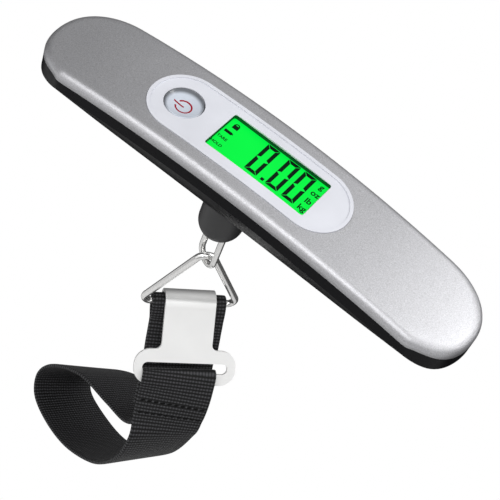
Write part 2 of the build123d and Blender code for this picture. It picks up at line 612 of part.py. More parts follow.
def band(width, thickness):
    """A flat band along the route, as four ruled sides between its long edges."""
    corners = [band_corners(i, width, thickness) for i in range(len(route))]
    centres = [Vector(*station[:3]) for station in route]
    runs = [0.0] + [(b - a).length for a, b in zip(centres, centres[1:])]
    along = [sum(runs[:i + 1]) / sum(runs) for i in range(len(runs))]
    edges = [Edge.make_spline([c[k] for c in corners], parameters=along) for k in range(4)]
    sides = [Face.make_surface_from_curves(edges[k - 1], edges[k]) for k in range(4)]
    caps = [make_face(Polyline(*c, c[0])) for c in (corners[0], corners[-1])]
    return Solid(Shell(sides + [c.face() for c in caps]))


webbing = webbing + Part(band(WEBBING_WIDTH, WEBBING_THICKNESS).wrapped)
save(strap_frame * webbing, "webbing_strap")
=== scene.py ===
"""Finishes, markings, webbing and studio for a hand-held digital luggage scale."""

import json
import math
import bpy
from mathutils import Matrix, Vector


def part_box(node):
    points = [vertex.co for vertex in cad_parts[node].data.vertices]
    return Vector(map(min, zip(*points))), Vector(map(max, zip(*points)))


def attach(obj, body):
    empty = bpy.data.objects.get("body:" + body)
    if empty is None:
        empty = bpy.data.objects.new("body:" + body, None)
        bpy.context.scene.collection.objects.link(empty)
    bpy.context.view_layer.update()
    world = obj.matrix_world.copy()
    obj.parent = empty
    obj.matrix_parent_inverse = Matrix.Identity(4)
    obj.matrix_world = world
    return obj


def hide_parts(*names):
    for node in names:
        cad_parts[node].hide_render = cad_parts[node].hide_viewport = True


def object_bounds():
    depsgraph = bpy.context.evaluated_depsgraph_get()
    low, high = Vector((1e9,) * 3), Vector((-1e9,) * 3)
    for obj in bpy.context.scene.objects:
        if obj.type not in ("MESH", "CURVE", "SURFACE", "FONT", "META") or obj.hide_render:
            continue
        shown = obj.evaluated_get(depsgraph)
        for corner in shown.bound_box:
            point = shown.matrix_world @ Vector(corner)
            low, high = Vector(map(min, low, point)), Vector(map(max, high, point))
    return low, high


bl_info = {
    "name": "Luggage Scale Finishing",
    "version": (1, 0, 0),
    "blender": (4, 5, 0),
    "location": "3D View > Sidebar > Luggage Scale",
    "description": "Dresses a digital luggage scale: paint, plastics, display, steel and webbing",
    "category": "Object",
}

import bmesh
import bpy
from bpy.props import FloatProperty, FloatVectorProperty, IntProperty, PointerProperty
from mathutils import Matrix, Vector

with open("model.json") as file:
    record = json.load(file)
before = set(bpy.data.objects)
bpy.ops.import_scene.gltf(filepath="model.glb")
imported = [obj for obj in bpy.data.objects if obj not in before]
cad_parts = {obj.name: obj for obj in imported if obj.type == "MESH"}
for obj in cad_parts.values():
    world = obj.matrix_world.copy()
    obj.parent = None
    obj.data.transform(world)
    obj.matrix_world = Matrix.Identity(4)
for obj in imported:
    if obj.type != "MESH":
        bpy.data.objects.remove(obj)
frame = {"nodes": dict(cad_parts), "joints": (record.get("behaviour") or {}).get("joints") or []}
CAD_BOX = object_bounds()
STRAP_SWING = next(joint for joint in frame["joints"] if joint["name"] == "strap_swing")
MM = 0.001


# ---- pieces -----------------------------------------------------------------
def new_piece(name, shape, body, finish):
    """Turns a finished bmesh into a piece that rides on a body of the frame."""
    mesh = bpy.data.meshes.new(name)
    shape.to_mesh(mesh)
    shape.free()
    mesh.materials.append(finish)
    piece = bpy.data.objects.new(name, mesh)
    bpy.context.scene.collection.objects.link(piece)
    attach(piece, body)
    return piece


def smooth_faces(piece, angle):
    """Shades a piece smooth, apart from edges that turn by more than the angle in degrees."""
    for face in piece.data.polygons:
        face.use_smooth = True
    edge_angle = math.radians(angle)
    shape = bmesh.new()
    shape.from_mesh(piece.data)
    for edge in shape.edges:
        edge.smooth = len(edge.link_faces) == 2 and edge.calc_face_angle(0.0) < edge_angle
    shape.to_mesh(piece.data)
    shape.free()


# ---- shader nodes -----------------------------------------------------------
class NodeKit:
    """Adds nodes to one node tree and joins them up."""

    def __init__(self, tree):
        self.nodes = tree.nodes
        self.links = tree.links

    def plug(self, source, socket):
        """Gives a socket another node's output or a plain value."""
        if isinstance(source, bpy.types.NodeSocket):
            self.links.new(source, socket)
        else:
            socket.default_value = source

    def node(self, kind, **sources):
        """A new node, with its sockets filled by name."""
        made = self.nodes.new(kind)
        for name, source in sources.items():
            self.plug(source, made.inputs[name.replace("_", " ")])
        return made

    def maths(self, operation, *values):
        made = self.nodes.new("ShaderNodeMath")
        made.operation = operation
        for value, socket in zip(values, made.inputs):
            self.plug(value, socket)
        return made.outputs["Value"]

    def remap(self, source, start, end, low, high, smooth=False):
        """Goes from low to high while the source goes from start to end."""
        made = self.node(
            "ShaderNodeMapRange", Value=source, From_Min=start, From_Max=end, To_Min=low, To_Max=high
        )
        if smooth:
            made.interpolation_type = "SMOOTHSTEP"
        return made.outputs["Result"]

    def axis(self, place, name):
        """One coordinate of a place."""
        return self.node("ShaderNodeSeparateXYZ", Vector=place).outputs[name]


def scaled(tone, share):
    """A colour made darker or lighter, without passing full white."""
    return [min(1.0, channel * share) for channel in tone]


class Finish(NodeKit):
    """A material under construction: a shader fed by the piece's own coordinates."""

    NOISE_SPAN = (0.3, 0.7)  # where nearly all values of a noise lie

    def __init__(self, name):
        old = bpy.data.materials.get(name)
        if old:
            bpy.data.materials.remove(old)
        self.material = bpy.data.materials.new(name)
        self.material.use_nodes = True
        super().__init__(self.material.node_tree)
        self.shader = self.nodes["Principled BSDF"]
        self.coords = self.nodes.new("ShaderNodeTexCoord").outputs

    def set(self, **sources):
        """Fills the shader's sockets by name."""
        for name, source in sources.items():
            self.plug(source, self.shader.inputs[name.replace("_", " ")])

    def noise(self, scale, detail):
        place = self.coords["Object"]
        made = self.node("ShaderNodeTexNoise", Scale=scale, Detail=detail, Vector=place)
        return made.outputs["Fac"]

    def ramp(self, source, low, high, span=NOISE_SPAN):
        """Blends two colours while the source goes through the span."""
        made = self.node("ShaderNodeValToRGB", Fac=source)
        for stop, place, colour in zip(made.color_ramp.elements, span, (low, high)):
            stop.position = place
            stop.color = (*colour, 1.0)
        return made.outputs["Color"]

    def spread(self, source, low, high):
        """Goes from low to high over the values that a noise takes."""
        return self.remap(source, *self.NOISE_SPAN, low, high)

    def bump(self, height, strength, depth, under=None):
        """Raises the surface by a height map, on top of the normal given."""
        made = self.node("ShaderNodeBump", Strength=strength, Distance=depth, Height=height)
        if under:
            self.plug(under, made.inputs["Normal"])
        self.set(Normal=made.outputs["Normal"])


# ---- finishes ---------------------------------------------------------------
RIM_START, RIM_END = 12.5 * MM, 18.0 * MM  # from the cover's long axis, where its rim softens
RIM_RADIUS = 4.5 * MM
RIM_END_SHARE = 0.25                       # the same reach, counted along the handle
RIM_SAMPLES = 8


def silver_paint(look):
    """Silver paint with fine metal flake under a satin lacquer, flowing softly over the rim."""
    paint = Finish("silver paint")
    flake = paint.noise(scale=3400.0, detail=1.0)
    drift = paint.noise(scale=25.0, detail=2.0)
    tone = look.paint_tone
    paint.set(
        Base_Color=paint.ramp(flake, scaled(tone, 0.82), scaled(tone, 1.16)),
        Roughness=paint.spread(drift, low=0.36, high=0.44),
        Metallic=0.75, Coat_Weight=0.2, Coat_Roughness=0.3,
    )
    place = paint.coords["Object"]
    along = paint.maths("MULTIPLY", paint.maths("ABSOLUTE", paint.axis(place, "X")), RIM_END_SHARE)
    reach = paint.maths("MAXIMUM", paint.maths("ABSOLUTE", paint.axis(place, "Y")), along)
    radius = paint.remap(reach, RIM_START, RIM_END, low=0.0, high=RIM_RADIUS)
    rim = paint.node("ShaderNodeBevel", Radius=radius)
    rim.samples = RIM_SAMPLES
    paint.bump(flake, strength=0.09, depth=0.04 * MM, under=rim.outputs["Normal"])
    return paint.material


def gloss_moulding(name, colour, rough, coat=0.3, shine=0.5):
    """Polished moulding with the faint waviness of a real tool."""
    plastic = Finish(name)
    wave = plastic.noise(scale=60.0, detail=2.0)
    speck = plastic.noise(scale=700.0, detail=2.0)
    plastic.set(
        Base_Color=plastic.ramp(wave, scaled(colour, 0.94), scaled(colour, 1.04)),
        Roughness=plastic.spread(speck, low=rough * 0.85, high=rough * 1.2),
        Coat_Weight=coat, Coat_Roughness=0.06, Specular_IOR_Level=shine,
    )
    plastic.bump(wave, strength=0.05, depth=0.4 * MM)
    return plastic.material


def matte_moulding(name, colour, rough, shine=0.5):
    """Spark-eroded moulding: a fine even grain that breaks up the highlight."""
    plastic = Finish(name)
    speck = plastic.noise(scale=2600.0, detail=3.0)
    plastic.set(
        Base_Color=plastic.ramp(speck, scaled(colour, 0.85), scaled(colour, 1.15)),
        Roughness=plastic.spread(speck, low=rough * 0.9, high=rough * 1.15),
        Specular_IOR_Level=shine,
    )
    plastic.bump(speck, strength=0.25, depth=0.06 * MM)
    return plastic.material


BUTTON_SHADE_SHIFT = (0.55 * MM, -0.95 * MM)  # the shaded rim is off the button's centre by this
BUTTON_SHADE_START, BUTTON_SHADE_END = 5.0 * MM, 6.4 * MM


def button_moulding(look):
    """Clear button moulding with painted shade on its rim, where the wall of its dished edge would
    shadow it on one side.
    """
    button = Finish("button moulding")
    low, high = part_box("power_button")
    middle = (low + high) / 2
    reach = button.nodes.new("ShaderNodeVectorMath")
    reach.operation = "DISTANCE"
    button.plug(button.coords["Object"], reach.inputs[0])
    shift_x, shift_y = BUTTON_SHADE_SHIFT
    button.plug((middle[0] + shift_x, middle[1] + shift_y, middle[2]), reach.inputs[1])
    rim = button.remap(
        reach.outputs["Value"], BUTTON_SHADE_START, BUTTON_SHADE_END, low=0.0, high=1.0, smooth=True
    )
    tone = look.button_tone
    # Painted shade: the colour darkens to 0.22 of the tone towards the rim on one side, for the
    # shadow of the dish's wall.
    button.set(
        Base_Color=button.ramp(rim, tone, scaled(tone, 0.22), span=(0.0, 1.0)),
        Roughness=0.2, Coat_Weight=0.4, Coat_Roughness=0.05,
    )
    button.bump(button.noise(scale=60.0, detail=2.0), strength=0.04, depth=0.4 * MM)
    return button.material


def plated_steel(name, tone, rough, metal=1.0):
    """Plated or milled metal: clean, with a faint cloudiness from handling."""
    steel = Finish(name)
    cloud = steel.noise(scale=120.0, detail=2.0)
    steel.set(
        Base_Color=steel.ramp(cloud, scaled(tone, 0.93), tone),
        Roughness=steel.spread(cloud, low=rough * 0.9, high=rough * 1.15),
        Metallic=metal,
    )
    steel.bump(steel.noise(scale=300.0, detail=1.0), strength=0.01, depth=0.01 * MM)
    return steel.material


CLASP_BEND_START, CLASP_BEND_END = 1.5 * MM, 2.5 * MM  # above the ring's bar


def satin_nickel():
    """Brushed nickel of the clasp: dull on its flat face, polished where it bends over the bar."""
    nickel = Finish("satin nickel")
    bar = STRAP_SWING["pos_m"][2]
    height = nickel.axis(nickel.coords["Object"], "Z")
    bend = nickel.remap(
        height, bar + CLASP_BEND_START, bar + CLASP_BEND_END, low=0.15, high=0.7
    )
    tone = (0.79, 0.79, 0.785)
    nickel.set(
        Base_Color=nickel.ramp(nickel.noise(scale=120.0, detail=2.0), scaled(tone, 0.97), tone),
        Roughness=nickel.spread(bend, low=0.5, high=0.34),
        Metallic=bend,
    )
    return nickel.material


def lit_display(look):
    """Display glass with its green light behind it."""
    glass = Finish("lit display")
    cloud = glass.noise(scale=70.0, detail=1.0)
    tone = look.display_tone
    glass.set(
        Base_Color=glass.ramp(cloud, scaled(tone, 0.12), scaled(tone, 0.14)),
        Emission_Color=glass.ramp(cloud, scaled(tone, 0.97), tone),
        Emission_Strength=look.display_glow,
        Roughness=0.5, Specular_IOR_Level=0.08,
    )
    return glass.material


def printed(name, colour, rough=0.7):
    """Ink or liquid crystal: a thin even layer."""
    ink = Finish(name)
    ink.set(
        Base_Color=ink.ramp(ink.noise(scale=3000.0, detail=1.0), scaled(colour, 0.9), colour),
        Roughness=rough, Specular_IOR_Level=0.1,
    )
    return ink.material


WARP_PITCH, RIB_PITCH = 1.08, 1.12  # millimetres, as the webbing's own coordinates are
WAVE_SCALE = math.pi / 10           # a wave texture of this scale repeats once in each unit
WARP_SHARE, WARP_FLOOR = 0.6, 0.4   # how much the warp breaks up a rib


def woven_webbing(look):
    """Ribbed webbing: rows of weft across it, broken up by the warp that runs along it, with painted
    highlight on the ribs and painted shade between them.
    """
    cloth = Finish("woven webbing")
    waves = []
    for direction, pitch in (("X", WARP_PITCH), ("Y", RIB_PITCH)):
        wave = cloth.node(
            "ShaderNodeTexWave", Scale=WAVE_SCALE / pitch, Distortion=0.8, Detail=1.0,
            Detail_Scale=2.0, Vector=cloth.coords["UV"],
        )
        wave.wave_type = "BANDS"
        wave.bands_direction = direction
        wave.wave_profile = "SIN"
        waves.append(wave.outputs["Fac"])
    warp, ribs = waves
    weave = cloth.maths("MULTIPLY", cloth.maths("MULTIPLY_ADD", warp, WARP_SHARE, WARP_FLOOR), ribs)
    tone = look.webbing_tone
    # The weave is real and also raises the bump; its colour from 0.09 to 4.7 of the tone, dark in the
    # hollows and light on the ribs, is painted shade and painted highlight.
    cloth.set(
        Base_Color=cloth.ramp(weave, scaled(tone, 0.09), scaled(tone, 4.7), span=(0.15, 0.95)),
        Roughness=0.7, Sheen_Weight=0.06, Sheen_Roughness=0.4, Specular_IOR_Level=0.25,
    )
    cloth.bump(weave, strength=0.8, depth=0.22 * MM)
    return cloth.material


# ---- settings ---------------------------------------------------------------
class LookSettings(bpy.types.PropertyGroup):
    """Colours and glow that a user would change."""

    paint_tone: FloatVectorProperty(
        name="Paint", description="Silver of the top cover", subtype="COLOR", size=3,
        min=0.0, max=1.0, default=(0.52, 0.52, 0.54))
    bezel_tone: FloatVectorProperty(
        name="Bezel", description="Pale frame round the display", subtype="COLOR", size=3,
        min=0.0, max=1.0, default=(0.64, 0.65, 0.70))
    button_tone: FloatVectorProperty(
        name="Button", description="Pale blue-grey of the button", subtype="COLOR", size=3,
        min=0.0, max=1.0, default=(0.52, 0.56, 0.63))
    display_tone: FloatVectorProperty(
        name="Display", description="Green of the lit display", subtype="COLOR", size=3,
        min=0.0, max=1.0, default=(0.0, 0.90, 0.06))
    display_glow: FloatProperty(
        name="Display glow", description="How strongly the display is lit from behind",
        min=0.0, max=3.0, default=0.9)
    segment_tone: FloatVectorProperty(
        name="Segments", description="Dark segments of the display", subtype="COLOR", size=3,
        min=0.0, max=1.0, default=(0.0, 0.010, 0.003))
    symbol_tone: FloatVectorProperty(
        name="Power symbol", description="Red of the mark on the button", subtype="COLOR", size=3,
        min=0.0, max=1.0, default=(0.30, 0.006, 0.02))
    webbing_tone: FloatVectorProperty(
        name="Webbing", description="Colour of the strap", subtype="COLOR", size=3,
        min=0.0, max=1.0, default=(0.012, 0.012, 0.013))


class DisplaySettings(bpy.types.PropertyGroup):
    """Sizes of the display's characters."""

    digit_height: FloatProperty(
        name="Digit height", description="Top to bottom of a digit", unit="LENGTH",
        min=0.004, max=0.015, default=0.0128)
    digit_width: FloatProperty(
        name="Digit width", description="Across a digit", unit="LENGTH",
        min=0.002, max=0.008, default=0.0044)
    stroke: FloatProperty(
        name="Stroke", description="Width of a segment", unit="LENGTH",
        min=0.0003, max=0.002, default=0.0012)
    small_height: FloatProperty(
        name="Small characters", description="Height of the unit marks", unit="LENGTH",
        min=0.0005, max=0.004, default=0.0022)


class WebbingSettings(bpy.types.PropertyGroup):
    """Sizes of the webbing and its stitching."""

    width: FloatProperty(
        name="Width", description="Across the webbing", unit="LENGTH",
        min=0.01, max=0.05, default=0.025)
    thickness: FloatProperty(
        name="Thickness", description="Through the webbing", unit="LENGTH",
        min=0.0005, max=0.003, default=0.0013)
    stitch: FloatProperty(
        name="Stitch", description="Length of one stitch", unit="LENGTH",
        min=0.0005, max=0.004, default=0.0019)
    rows: IntProperty(
        name="Rows", description="Rows of stitching below the clasp", min=1, max=4, default=2)
    first_row: FloatProperty(
        name="First row", description="Ring's bar down to the first row of stitching", unit="LENGTH",
        min=0.03, max=0.038, default=0.0342)


# ---- the frame's own pieces -------------------------------------------------
class LUGGAGE_OT_case(bpy.types.Operator):
    """Paints the cover and gives every moulded and metal piece of the frame its finish"""

    bl_idname = "luggage.case"
    bl_label = "Finish Case"

    def execute(self, context):
        look = context.scene.luggage_look
        steel = plated_steel("plated steel", (0.60, 0.60, 0.61), rough=0.24)
        bright = plated_steel("bright nickel", (0.93, 0.925, 0.915), rough=0.12, metal=0.9)
        black = matte_moulding("matte black moulding", (0.006, 0.006, 0.007), rough=0.36, shine=0.34)
        gloss = gloss_moulding(
            "black gloss moulding", (0.002, 0.002, 0.003), rough=0.3, coat=0.0, shine=0.08)
        amber = gloss_moulding("amber film", (0.55, 0.25, 0.04), rough=0.3)
        finishes = {
            "top_cover": silver_paint(look),
            "bottom_shell": gloss,
            "battery_door": gloss,
            "display_bezel": gloss_moulding("pale moulding", look.bezel_tone, rough=0.34, coat=0.15),
            "power_button": button_moulding(look),
            "switch_plunger": matte_moulding("grey moulding", (0.28, 0.28, 0.3), rough=0.5),
            "lcd_glass": lit_display(look),
            "backlight_panel": gloss_moulding("light guide", (0.8, 0.86, 0.8), rough=0.2),
            "backlight_leds": gloss_moulding("lamp resin", (0.9, 0.9, 0.75), rough=0.2),
            "contact_strips": matte_moulding("contact rubber", (0.55, 0.3, 0.33), rough=0.6),
            "circuit_board": gloss_moulding("board lacquer", (0.02, 0.17, 0.06), rough=0.3),
            "controller_chip": black,
            "tact_switch": black,
            "board_screws": steel,
            "load_cell_beam": plated_steel("milled aluminium", (0.74, 0.75, 0.76), rough=0.35),
            "strain_gauges": amber,
            "gauge_flex": amber,
            "load_cell_screws": steel,
            "hook_shroud": matte_moulding("shroud moulding", (0.022, 0.022, 0.023), rough=0.44),
            "battery_tray": black,
            "battery_cell": bright,
            "contact_positive": bright,
            "contact_negative": bright,
            "case_screws": steel,
            "swivel_stem": steel,
            "swivel_nut": steel,
            "thrust_washer": matte_moulding("bearing plastic", (0.8, 0.8, 0.76), rough=0.45),
            "swivel_yoke": steel,
            "hook_shackle": bright,
            "triangle_ring": bright,
            "clasp_plate": satin_nickel(),
        }
        for node, finish in finishes.items():
            piece = frame["nodes"][node]
            if not piece.material_slots:
                piece.data.materials.append(finish)
            for holder in piece.material_slots:
                holder.material = finish
        return {"FINISHED"}


# ---- display markings -------------------------------------------------------
# Places on the display in millimetres: x from the middle of the glass, y from the handle's axis.
DIGIT_LEFTS = (-4.75, 2.85, 8.75)
DIGIT_LOW = -5.2
POINT_X, POINT_SIZE = 1.6, 1.1            # the point stands on the digits' lower line
MARK_COLUMN = 15.8                        # either column of small marks from the middle
UNIT_MARKS = (("g", 6.3), ("oz", 2.7), ("lb", -1.0), ("kg", -4.4))
FUNCTION_MARKS = (("TARE", -1.2), ("HOLD", -4.2))
FUNCTION_SHARE = 0.5                      # height of a function mark in heights of a unit mark
# Battery, its tip and the padlock's body: middle from the left column, then width and height.
ICON_BOXES = (((0.0, 1.9), (2.6, 1.1)), ((1.5, 1.9), (0.4, 0.5)), ((0.6, 4.9), (2.0, 1.6)))
LOCK_BOW, LOCK_BOW_INNER, LOCK_BOW_OUTER = (0.6, 5.6), 0.5, 0.9
PRINT_GAP = 0.01 * MM                     # between the glass and the print on it
PRINT_DEPTH = 0.02 * MM
MITRE_GAP = 0.09                          # between two bars of a digit, in strokes
MITRE_WAIST = 0.55                        # a digit's middle to an upright bar's inner end, in strokes
FONT_SHARE = 1.35                         # size of the font in heights of its characters
FONT_WEIGHT = 0.03                        # how far the outlines are swollen, in the same heights


def lift(shape, faces, height):
    """Gives flat faces a thickness upwards."""
    raised = bmesh.ops.extrude_face_region(shape, geom=faces)["geom"]
    tops = [part for part in raised if isinstance(part, bmesh.types.BMVert)]
    bmesh.ops.translate(shape, verts=tops, vec=(0.0, 0.0, height))


def nought(shape, left, low, size, stroke, z):
    """A nought of the display: six mitred bars round an unlit middle one."""
    gap = stroke * MITRE_GAP
    middle = (left + size[0] / 2, low + size[1] / 2)
    out, up = size[0] / 2, size[1] / 2
    cap = (
        (gap - out, up), (out - gap, up),
        (out - gap - stroke, up - stroke), (gap + stroke - out, up - stroke),
    )
    bar = (
        (out, gap / 2), (out, up - gap),
        (out - stroke, up - gap - stroke), (out - stroke, stroke * MITRE_WAIST),
    )
    faces = []
    for points, turns in ((cap, ((1, 1), (1, -1))), (bar, ((1, 1), (-1, 1), (1, -1), (-1, -1)))):
        for x, y in turns:
            spots = [(middle[0] + px * x, middle[1] + py * y, z) for px, py in points]
            faces.append(shape.faces.new([shape.verts.new(spot) for spot in spots]))
    bmesh.ops.recalc_face_normals(shape, faces=faces)
    lift(shape, faces, PRINT_DEPTH)


def words(name, text, height, middle, z, finish):
    """A few flat characters, made a mesh and laid on the display."""
    font = bpy.data.curves.new(name, "FONT")
    font.body = text
    font.size = height * FONT_SHARE
    font.align_x = "CENTER"
    font.align_y = "CENTER"
    font.offset = height * FONT_WEIGHT
    font.extrude = PRINT_DEPTH / 2
    font.resolution_u = 3
    holder = bpy.data.objects.new(name + "_outline", font)
    mesh = bpy.data.meshes.new_from_object(holder)
    bpy.data.objects.remove(holder)
    shape = bmesh.new()
    shape.from_mesh(mesh)
    bpy.data.meshes.remove(mesh)
    bmesh.ops.transform(shape, matrix=Matrix.Translation((*middle, z)), verts=shape.verts)
    new_piece(name, shape, "handle", finish)


def flat_box(shape, middle, size, z):
    """A thin rectangle of print."""
    place = Matrix.Translation((*middle, z)) @ Matrix.Diagonal((*size, 1.0, 1.0))
    made = bmesh.ops.create_grid(shape, x_segments=1, y_segments=1, size=0.5, matrix=place)
    lift(shape, list({face for vert in made["verts"] for face in vert.link_faces}), PRINT_DEPTH)


class LUGGAGE_OT_display(bpy.types.Operator):
    """Draws the reading, its point, the unit marks and the function marks on the display"""

    bl_idname = "luggage.display"
    bl_label = "Mark Display"

    def execute(self, context):
        sizes = context.scene.luggage_display
        ink = printed("display segments", context.scene.luggage_look.segment_tone)
        low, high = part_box("lcd_glass")
        z = high[2] + PRINT_GAP
        centre = (low[0] + high[0]) / 2
        bottom = DIGIT_LOW * MM
        digits = bmesh.new()
        size = (sizes.digit_width, sizes.digit_height)
        for left in DIGIT_LEFTS:
            nought(digits, centre + left * MM, bottom, size, sizes.stroke, z)
        point = (centre + POINT_X * MM, bottom + POINT_SIZE / 2 * MM)
        flat_box(digits, point, (POINT_SIZE * MM, POINT_SIZE * MM), z)
        new_piece("display_digits", digits, "handle", ink)

        right = centre + MARK_COLUMN * MM
        for name, y in UNIT_MARKS:
            words("unit_" + name, name, sizes.small_height, (right, y * MM), z, ink)
        left = centre - MARK_COLUMN * MM
        small = sizes.small_height * FUNCTION_SHARE
        for name, y in FUNCTION_MARKS:
            words("mark_" + name.lower(), name, small, (left, y * MM), z, ink)

        icons = bmesh.new()
        for (x, y), (width, height) in ICON_BOXES:
            flat_box(icons, (left + x * MM, y * MM), (width * MM, height * MM), z)
        new_piece("mark_icons", icons, "handle", ink)

        bow = bmesh.new()
        x, y = left + LOCK_BOW[0] * MM, LOCK_BOW[1] * MM
        inner = bow.verts.new((x + LOCK_BOW_INNER * MM, y, z))
        outer = bow.verts.new((x + LOCK_BOW_OUTER * MM, y, z))
        bow.edges.new((inner, outer))
        bmesh.ops.spin(bow, geom=bow.verts[:] + bow.edges[:], cent=(x, y, z),
                       axis=(0, 0, 1), angle=math.pi, steps=12)
        lift(bow, bow.faces[:], PRINT_DEPTH)
        bmesh.ops.recalc_face_normals(bow, faces=bow.faces)
        new_piece("mark_lock_bow", bow, "handle", ink)
        return {"FINISHED"}


WALL_SHADE_BORDER = 1.6 * MM        # the glass hidden under the bezel, on each side
WALL_SHADE_CORNER = 0.8 * MM
WALL_SHADE_THICKNESS = 0.12 * MM
WALL_SHADE_HEIGHT = 1.3 * MM
WALL_SHADE_GAP = 0.02 * MM          # between the glass and the painted shade lining


class LUGGAGE_OT_window_shade(bpy.types.Operator):
    """Lines the sides of the display's window with a dark green sheet, painted shade for the shadow
    on the window's walls
    """

    bl_idname = "luggage.display_mask"
    bl_label = "Line Window"

    def execute(self, context):
        low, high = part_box("lcd_glass")
        size = (high[0] - low[0] - 2 * WALL_SHADE_BORDER, high[1] - low[1] - 2 * WALL_SHADE_BORDER)
        middle = ((low[0] + high[0]) / 2, (low[1] + high[1]) / 2)
        place = Matrix.Translation((*middle, high[2] + WALL_SHADE_GAP)) @ Matrix.Diagonal((*size, 1.0, 1.0))
        shape = bmesh.new()
        bmesh.ops.create_grid(shape, x_segments=1, y_segments=1, size=0.5, matrix=place)
        bmesh.ops.bevel(shape, geom=shape.verts[:], offset=WALL_SHADE_CORNER, offset_type="OFFSET",
                        affect="VERTICES", segments=6, profile=0.5, material=-1)
        rim = bmesh.ops.inset_region(
            shape, faces=shape.faces[:], thickness=WALL_SHADE_THICKNESS, use_boundary=True)["faces"]
        inside = [face for face in shape.faces if face not in rim]
        bmesh.ops.delete(shape, geom=inside, context="FACES")
        lift(shape, shape.faces[:], WALL_SHADE_HEIGHT)
        bmesh.ops.recalc_face_normals(shape, faces=shape.faces)
        # Painted shade: a dark green lining stands along the window's walls, where the recess round
        # the glass is shaded.
        lining_shade = printed("window mask", (0.002, 0.10, 0.02))
        new_piece("window_mask", shape, "handle", lining_shade)
        return {"FINISHED"}


# ---- power symbol and screws ------------------------------------------------
DISH_RADIUS, DISH_DEPTH = 15.0 * MM, 1.1 * MM         # of the button's hollow top
SYMBOL_SHIFT = Vector((0.45 * MM, -0.75 * MM, 0.0))   # from the middle of the button
SYMBOL_INNER, SYMBOL_OUTER = 2.2 * MM, 2.7 * MM
SYMBOL_START, SYMBOL_SWEEP = -155, 310                # degrees
SYMBOL_STROKE, SYMBOL_STROKE_X = (3.7 * MM, 0.5 * MM), -1.75 * MM
SYMBOL_GAP, SYMBOL_DEPTH = 0.01 * MM, 0.03 * MM


class LUGGAGE_OT_power_symbol(bpy.types.Operator):
    """Prints the broken ring and stroke in the button's dish"""

    bl_idname = "luggage.power_symbol"
    bl_label = "Print Power Symbol"

    def execute(self, context):
        ink = printed("red print", context.scene.luggage_look.symbol_tone, rough=0.5)
        low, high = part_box("power_button")
        centre = Vector(((low[0] + high[0]) / 2, (low[1] + high[1]) / 2, 0.0))
        ring = bmesh.new()
        inner = ring.verts.new((SYMBOL_INNER, 0.0, 0.0))
        outer = ring.verts.new((SYMBOL_OUTER, 0.0, 0.0))
        ring.edges.new((inner, outer))
        start = Matrix.Rotation(math.radians(SYMBOL_START), 3, "Z")
        bmesh.ops.rotate(ring, verts=ring.verts, cent=(0, 0, 0), matrix=start)
        bmesh.ops.spin(ring, geom=ring.verts[:] + ring.edges[:], cent=(0, 0, 0), axis=(0, 0, 1),
                       angle=math.radians(SYMBOL_SWEEP), steps=60)
        stroke = Matrix.Translation((SYMBOL_STROKE_X, 0.0, 0.0))
        stroke = stroke @ Matrix.Diagonal((*SYMBOL_STROKE, 1.0, 1.0))
        bmesh.ops.create_grid(ring, x_segments=12, y_segments=2, size=0.5, matrix=stroke)
        bmesh.ops.translate(ring, verts=ring.verts, vec=centre + SYMBOL_SHIFT)
        dish_centre = high[2] - DISH_DEPTH + DISH_RADIUS
        for vert in ring.verts:
            out = Vector((vert.co.x - centre.x, vert.co.y - centre.y)).length
            vert.co.z = dish_centre - math.sqrt(DISH_RADIUS**2 - out**2) + SYMBOL_GAP
        lift(ring, ring.faces[:], SYMBOL_DEPTH)
        bmesh.ops.recalc_face_normals(ring, faces=ring.faces)
        new_piece("power_symbol", ring, "button", ink)
        return {"FINISHED"}


SCREW_INSET = 2.2 * MM                                # a screw's middle from the pair's end
RECESS_ARM, RECESS_HALF_WIDTH = 1.2 * MM, 0.25 * MM   # of the cross in its head
RECESS_GAP, RECESS_DEPTH = 0.01 * MM, 0.02 * MM


class LUGGAGE_OT_screw_slots(bpy.types.Operator):
    """Marks the cross recess in the head of each case screw as a flat dark cross, painted shade for
    its hollow
    """

    bl_idname = "luggage.screw_slots"
    bl_label = "Mark Screws"

    def execute(self, context):
        # Painted shade: a flat dark cross stands in for the shaded hollow of each recess.
        recess = printed("screw recess", (0.015, 0.015, 0.016), rough=0.6)
        low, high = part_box("case_screws")
        arm, half = RECESS_ARM, RECESS_HALF_WIDTH
        shape = bmesh.new()
        faces = []
        for x in (low[0] + SCREW_INSET, high[0] - SCREW_INSET):
            spots = []
            for quarter in range(4):
                for across, along in ((half, arm), (half, half), (arm, half)):
                    for _ in range(quarter):
                        across, along = along, -across
                    spots.append(shape.verts.new((x + across, along, low[2] - RECESS_GAP)))
            faces.append(shape.faces.new(spots))
        lift(shape, faces, RECESS_DEPTH)
        bmesh.ops.recalc_face_normals(shape, faces=shape.faces)
        new_piece("screw_recesses", shape, "handle", recess)
        return {"FINISHED"}


